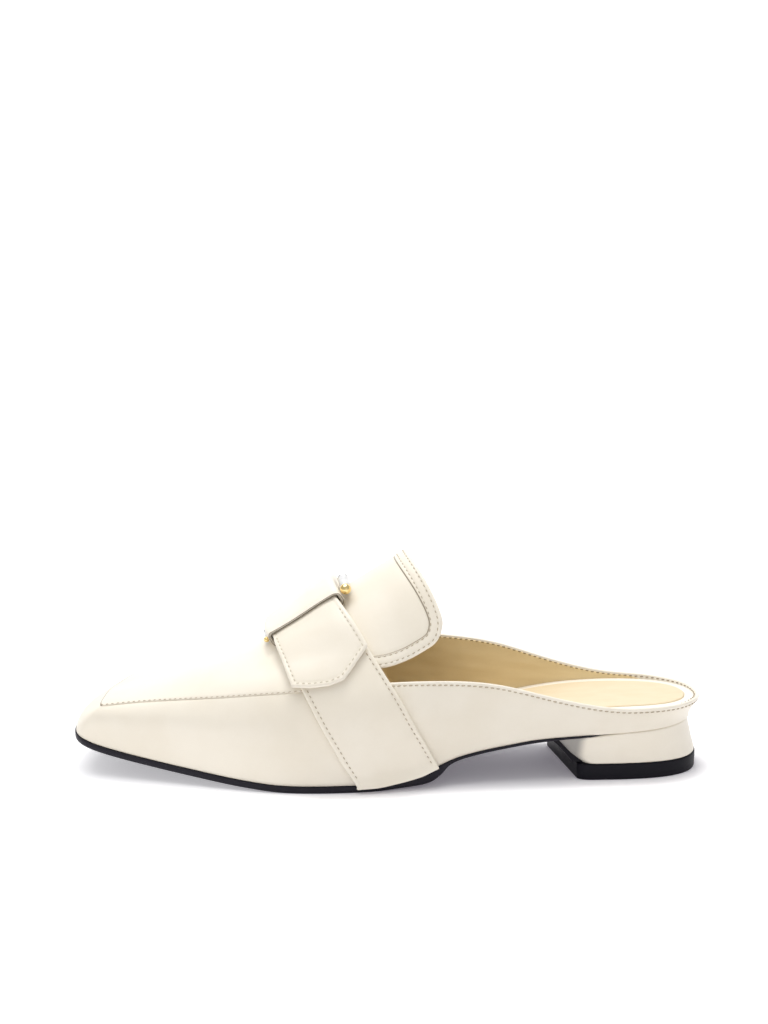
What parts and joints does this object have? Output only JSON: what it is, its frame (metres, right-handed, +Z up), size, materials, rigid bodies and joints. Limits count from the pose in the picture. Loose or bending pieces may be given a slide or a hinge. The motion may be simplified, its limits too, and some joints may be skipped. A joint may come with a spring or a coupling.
{
  "type": "mule loafer",
  "caption": "Backless women's loafer, left shoe: square-toed vamp with an apron seam, high arched tongue, saddle strap with a pointed tab through a leather keeper, low covered heel.",
  "frame": {"origin": "centre of the bounding box in plan, on the ground the shoe stands on", "axes": "+X towards the heel (the toe points to -X), -Y the outer side of the foot, +Z up"},
  "size_m": [0.2654, 0.0852, 0.0914],
  "materials": {
    "cream_leather": "smooth cream calf leather, low sheen",
    "sole_black": "black, satin, smooth edge",
    "tan_leather": "pale tan lining leather, matt",
    "gold_metal": "polished pale gold plating"
  },
  "bodies": {
    "root": {"upper": "cream_leather", "tongue": "cream_leather", "strap_outer": "cream_leather", "strap_inner": "cream_leather", "keeper": "cream_leather", "bar_front": "gold_metal", "bar_rear": "gold_metal", "insole": "cream_leather", "sock": "tan_leather", "outsole": "sole_black", "heel": "cream_leather", "top_lift": "sole_black"}
  },
  "joints": []
}
